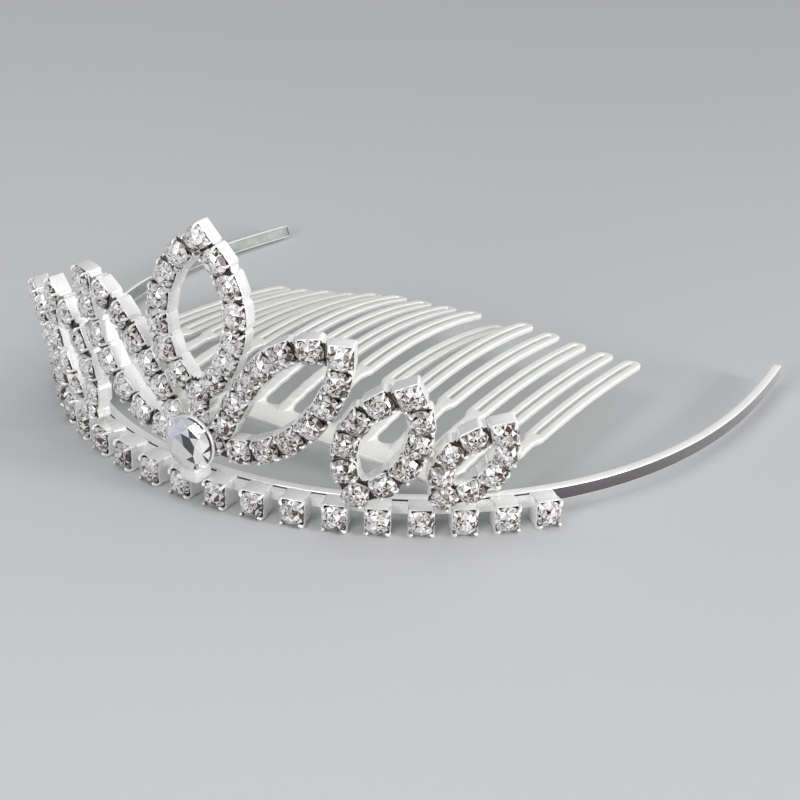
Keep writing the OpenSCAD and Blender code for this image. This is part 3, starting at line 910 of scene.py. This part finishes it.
def add_shards(verts, faces, facet, rng, again=True):
    """Splits a flat facet in shards, twice at most: the foil's reflections seen through it."""
    if rng.random() < (WHOLE_FACET if again else WHOLE_SHARD):
        faces.append(list(facet))
        return
    weights = [SHARD_LEAST + rng.random() for _ in range(3)]
    corners = [verts[i] for i in facet]
    k = len(verts)
    verts.append(
        tuple(sum(w * p[d] for w, p in zip(weights, corners)) / sum(weights) for d in range(3))
    )
    a, b, c = facet
    for shard in ((a, b, k), (b, c, k), (c, a, k)):
        if again:
            add_shards(verts, faces, shard, rng, again=False)
        else:
            faces.append(list(shard))


def facet_tone(points, rx, rz, shade, dark, rng):
    """Tone of a facet, a painted reflection with painted shade on the stone's dark side, by its
    place on the stone and its size.
    """
    cx = sum(p[0] for p in points) / len(points)
    cz = sum(p[2] for p in points) / len(points)
    far = math.hypot(cx / rx, cz / rz)
    side = max(0.0, math.cos(math.atan2(cz, cx) - shade))
    if far > GIRDLE_SHARE:
        return tone(rng, GIRDLE_DARK + GIRDLE_SIDE * side**2, GIRDLE_GREY)
    a, b, c = (Vector(p) for p in points[:3])
    area = max(AREA_LEAST, (b - a).cross(c - a).length)
    sliver = min(SLIVER_MOST, SLIVER_AREA * rx * rz / area)
    here = TABLE_DARK if far < TABLE_SHARE else TABLE_DARK + CROWN_SIDE * side**2
    return tone(rng, dark * sliver * here, CROWN_GREY + CROWN_GREY_MORE * dark)


def cut_stone(rx, rz, rng, dark, square, turned=0.0):
    """Small stone: a table, star, main and girdle facets, a girdle and a back. Its facets carry
    painted reflections; the dark ones, painted shade, gather on its right and lower side, also where
    its cup is turned."""
    shade = rng.uniform(SHADE_LOW, SHADE_HIGH) - turned
    verts, start = crown_points(rx, rz, square, rng)
    faces = []
    for facet in crown_facets(*start, GIRDLE_STEPS):
        add_shards(verts, faces, facet, rng)
    girdle, n, count = start[3], len(verts), GIRDLE_POINTS
    for depth, k in BACK_RINGS:
        for x, _, z in verts[girdle:girdle + count]:
            verts.append((x * k, STONE_RIM + depth, z * k))
    for i in range(count):
        j = (i + 1) % count
        faces.append([girdle + i, girdle + j, n + j, n + i])
        faces.append([n + i, n + j, n + count + j, n + count + i])
    faces.append([n + count + i for i in range(count)])
    verts, faces = outward(verts, faces)
    tones = [facet_tone([verts[i] for i in f], rx, rz, shade, dark, rng) for f in faces]
    return verts, faces, tones


def make_leaf(name, leaf, seed):
    """One leaf: a piece for its cups and one for its stones."""
    metal, stones = Build(), Build()
    rng = random.Random(seed)
    cups = leaf_cups(leaf)
    if name == "centre":
        base = cups[leaf.first.cups + 1].place
        cups.append(Cup(STEM, math.pi / 2, CUP_HALF, BASE_CORNER, [(base, STEM_GAP)]))
    for place, turn, half, corner, links in cups:
        at_tip = corner == TIP_CORNER
        m = on_leaf(*place)
        spin = m @ Matrix.Rotation(-turn, 4, "Y")
        verts, faces, mats = cup_shell(half, CUP_HALF, corner, CUP_D, chained=not at_tip)
        metal.add(verts, faces, spin, mats=mats)
        pull = LEAF_CLAW_INSET + LEAF_CLAW_ROUND * corner
        for a, c in CORNERS:
            x, z = a * (half - pull), c * (CUP_HALF - pull)
            metal.add(*claw(x, z, LEAF_CLAW_REACH, LEAF_CLAW_R), spin)
        for target, far in links:
            way = m @ Matrix.Rotation(-angle(place, target), 4, "Y")
            verts, faces = leaf_link(far / 2 + LINK_OVERLAP)
            # the link's front face takes the painted shade of material 1
            metal.add(verts, faces, way, mats=[1, 0, 0, 0, 0, 0], smooth=False)
        rx = min(half, LEAF_STONE_MOST) + LEAF_STONE_PROUD
        square = TIP_SQUARE if at_tip else SIDE_SQUARE
        verts, faces, tones = cut_stone(rx, LEAF_STONE_Z, rng, leaf.dark, square, turn)
        stones.add(verts, faces, spin, tones=tones, smooth=False)
    metal.make("cups_" + name, [BRIGHT, POCKET_SHADE], "silver_cups", ["leaf_" + name])
    stones.make("gems_" + name, [STONE], "clear_stones", ["stones_" + name])


def make_row_stone(i, place):
    b = Build()
    rng = random.Random(ROW_SEED + i)
    verts, faces, tones = cut_stone(ROW_STONE_X, ROW_STONE_Z, rng, ROW_STONE_DARK, ROW_STONE_SQUARE)
    b.add(verts, faces, place, tones=tones, smooth=False)
    number = "%02d" % (i + 1)
    b.make("gem_row_" + number, [STONE], "clear_stones", ["row_stone_" + number])


def make_row():
    """Eighteen square cups joined by short links at their backs, and their stones."""
    metal = Build()
    verts, faces, mats = cup_shell(ROW_W / 2, ROW_H / 2, ROW_CORNER, ROW_D)
    claws = [
        claw(a * ROW_CLAW_X, c * ROW_CLAW_Z, ROW_CLAW_REACH, ROW_CLAW_R) for a, c in CORNERS
    ]
    link = row_link()
    for i in range(ROW_COUNT):
        place = on_row(i)
        metal.add(verts, faces, place, mats=mats)
        for part in claws:
            metal.add(*part, place)
        make_row_stone(i, place)
        if i < ROW_COUNT - 1:
            metal.add(*link, on_row(i + 0.5), smooth=False)
    metal.make("row_cups", [BRIGHT, POCKET_SHADE], "silver_cups", ["cup_row"])


# Large stone
# Painted reflections in the large stone's facets
BIG_EDGE_DARK, BIG_EDGE_PALE = (0.04, 0.025, 0.025), (0.8, 0.79, 0.79)
BIG_TABLE, BIG_TABLE_CHANCE = 0.5, 0.6  # the table's share of the radius, its chance of black
BIG_TABLE_BLACK, BIG_TABLE_BLUE = (0.05, 0.05, 0.08), (0.5, 0.52, 0.6)
BIG_TABLE_PALE = (0.8, 0.79, 0.8)
# Zones round the table: the chance of the first tone, and both tones
Zone = namedtuple("Zone", "chance first other")
BIG_UPPER_RIGHT = Zone(0.3, (0.1, 0.1, 0.12), (0.78, 0.77, 0.75))
BIG_RIGHT = Zone(0.8, (0.93, 0.93, 0.91), (0.06, 0.05, 0.05))
BIG_UPPER_LEFT = Zone(0.7, (0.72, 0.75, 0.84), (0.9, 0.91, 0.95))
BIG_LOWER_LEFT = Zone(0.75, (0.86, 0.81, 0.8), (0.93, 0.93, 0.93))


def make_setting(x, y, place):
    """Round cup with four claws, on a foot that stands on the row."""
    b = Build()
    turns = [2 * math.pi * i / SETTING_POINTS for i in range(SETTING_POINTS)]
    wall = [[(r * math.cos(a), -q, r * math.sin(a)) for a in turns] for r, q in SETTING_PROFILE]
    b.add(*skin(wall), place)
    for corner in range(45, 360, 90):
        ca, sa = math.cos(math.radians(corner)), math.sin(math.radians(corner))
        path, radii = [], []
        for q, inn, thick in SETTING_CLAW:
            ring = SETTING_CLAW_RING - inn
            path.append((ring * ca, -q, ring * sa))
            radii.append(SETTING_CLAW_R * thick)
        b.add(*tube(path, radii, SETTING_CLAW_SIDES), place)
    outline = rounded(SETTING_FOOT_X, SETTING_FOOT_Y, SETTING_FOOT_EDGE, 0, CORNER_POINTS)
    foot = []
    for z, k in SETTING_FOOT:
        foot.append([(x + px * k, y - ROW_FRONT + py * k, z) for px, _, py in outline])
    b.add(*skin(foot))
    b.make("centre_cup", [BRIGHT], "silver_cups", ["centre_setting"])


def centre_tone(x, z, sides, rng):
    """Painted reflection: what a facet of the large stone mirrors, by its place on the stone and its
    sides.
    """
    k = 0.9 + 0.1 * rng.random()
    if sides > 3:
        # the girdle, with a painted dark reflection where it faces the upper right
        return BIG_EDGE_DARK if x + z > 0.2 and x > -0.1 else BIG_EDGE_PALE
    if math.hypot(x, z) < BIG_TABLE:
        black = x > 0.05 and z < 0.33 and rng.random() < BIG_TABLE_CHANCE
        tint = BIG_TABLE_BLACK if black else BIG_TABLE_BLUE if z > 0.1 else BIG_TABLE_PALE
    else:
        if x > 0.3 and z > 0.3:
            zone = BIG_UPPER_RIGHT
        elif x > 0.25:
            zone = BIG_RIGHT
        else:
            zone = BIG_UPPER_LEFT if z > 0.0 else BIG_LOWER_LEFT
        tint = zone.first if rng.random() < zone.chance else zone.other
    return tuple(c * k for c in tint)


def make_big_stone(place):
    """Large stone: a table, star, main and girdle facets, a girdle and a flat back."""
    verts, start = [(0, -BIG_GIRDLE - BIG_LIFT, 0)], [0]
    for share, n, off, height in BIG_RINGS:
        start.append(len(verts))
        for i in range(n):
            a = 2 * math.pi * (i + off) / n + BIG_TURN
            r = BIG_R * share
            verts.append((r * math.cos(a), -BIG_GIRDLE - height, r * math.sin(a)))
    girdle, back = start[3:]
    count = BIG_RINGS[-1][1]
    faces = crown_facets(*start[:4], count // FACETS)
    for i in range(count):
        j = (i + 1) % count
        faces.append([girdle + i, girdle + j, back + j, back + i])
    faces.append([back + i for i in range(count)])
    verts, faces = outward(verts, faces)
    rng = random.Random(CENTRE_SEED)
    tones = []
    for f in faces:
        cx, cz = (sum(verts[i][d] for i in f) / len(f) / BIG_R for d in (0, 2))
        tones.append(centre_tone(cx, cz, len(f), rng))
    b = Build()
    b.add(verts, faces, place, tones=tones, smooth=False)
    b.make("gem_centre", [BIG], "clear_stones", ["centre_stone"])


def make_centre():
    x, y = spot(ROW_SHIFT)
    place = axes((x, y, CENTRE_Z), (1, 0, 0), (0, 1, 0), (0, 0, 1))
    make_setting(x, y, place)
    make_big_stone(place)


# Floor, light and camera
FLOOR_HALF = 3  # metres
FLOOR_STOPS = ((0.3, (0.55, 0.555, 0.565)), (0.7, (0.58, 0.585, 0.595)))
ROOM_WAY, ROOM_STRENGTH = (0.45, 0.62, 0.5), 0.85  # direction of the room's pale side
ROOM_STOPS = (
    (0.0, (0.14, 0.145, 0.15)),
    (0.3, (0.26, 0.265, 0.27)),
    (0.62, (0.9, 0.9, 0.9)),
    (0.85, (1, 1, 1)),
)
LAMP_TARGET = (0, 0, 0.01)
LAMPS = (  # name, place and size in metres, power in watts
    ("key", (-0.12, -0.16, 0.42), (0.3, 0.3), 0.55),
    ("side", (0.5, 0.02, 0.13), (0.14, 0.2), 1.65),
    ("front", (0.02, -0.6, 0.24), (0.24, 0.2), 1.6),
)
# The camera as fitted to the photo, in degrees, millimetres and pixels
AZIMUTH, ELEVATION, ROLL = 31.416, 26.383, 1.032
AIM, DISTANCE = (5.333, 34.148, 0), 271.615
FOCAL_PIXELS, FRAME_PIXELS, SENSOR = 1995.855, 800, 36


def make_floor():
    me = bpy.data.meshes.new("floor")
    h = FLOOR_HALF
    me.from_pydata([(-h, -h, 0), (h, -h, 0), (h, h, 0), (-h, h, 0)], [], [[0, 1, 2, 3]])
    floor = bpy.data.objects.new("floor", me)
    bpy.context.scene.collection.objects.link(floor)
    m, nt, b = material("floor")
    nt.links.new(ramp(nt, noise(nt, mapped(nt, 0.004), 1.0), FLOOR_STOPS), b.inputs["Base Color"])
    nt.links.new(span(nt, noise(nt, mapped(nt, 0.02), 1.0), 0.64, 0.74), b.inputs["Roughness"])
    b.inputs["Specular IOR Level"].default_value = 0.2
    me.materials.append(m)


def make_room():
    """Soft studio surroundings, dark on the left at the front and pale on the right at the back."""
    world = bpy.data.worlds.new("studio")
    world.use_nodes = True
    nt = world.node_tree
    direction = nt.nodes.new("ShaderNodeTexCoord").outputs["Generated"]
    turned = nt.nodes.new("ShaderNodeVectorMath")
    turned.operation = "DOT_PRODUCT"
    turned.inputs[1].default_value = ROOM_WAY
    nt.links.new(direction, turned.inputs[0])
    background = nt.nodes["Background"]
    nt.links.new(ramp(nt, turned.outputs["Value"], ROOM_STOPS), background.inputs["Color"])
    background.inputs["Strength"].default_value = ROOM_STRENGTH
    bpy.context.scene.world = world
    bpy.context.scene.view_settings.view_transform = "Standard"


def make_lamp(name, place, size, power):
    data = bpy.data.lights.new(name, "AREA")
    data.shape = "RECTANGLE"
    data.size, data.size_y = size
    data.energy = power
    lamp = bpy.data.objects.new(name, data)
    lamp.location = place
    lamp.rotation_mode = "QUATERNION"
    lamp.rotation_quaternion = (Vector(LAMP_TARGET) - Vector(place)).to_track_quat("-Z", "Y")
    bpy.context.scene.collection.objects.link(lamp)


def make_camera():
    az, el, roll = (math.radians(v) for v in (AZIMUTH, ELEVATION, ROLL))
    back = Vector((math.sin(az) * math.cos(el), -math.cos(az) * math.cos(el), math.sin(el)))
    level = Vector((math.cos(az), math.sin(az), 0))
    upright = back.cross(level)
    right = level * math.cos(roll) + upright * math.sin(roll)
    up = upright * math.cos(roll) - level * math.sin(roll)
    data = bpy.data.cameras.new("camera")
    data.lens = FOCAL_PIXELS * SENSOR / FRAME_PIXELS
    data.sensor_width = SENSOR
    data.clip_start, data.clip_end = 0.01, 10
    camera = bpy.data.objects.new("camera", data)
    camera.matrix_world = axes(put(Vector(AIM) + back * DISTANCE), right, up, back)
    bpy.context.scene.collection.objects.link(camera)
    bpy.context.scene.camera = camera


make_band()
make_comb()
make_row()
make_centre()
for number, (name, leaf) in enumerate(LEAVES.items()):
    make_leaf(name, leaf, LEAF_SEED + number)
make_floor()
make_room()
for row in LAMPS:
    make_lamp(*row)
make_camera()

bpy.context.view_layer.update()
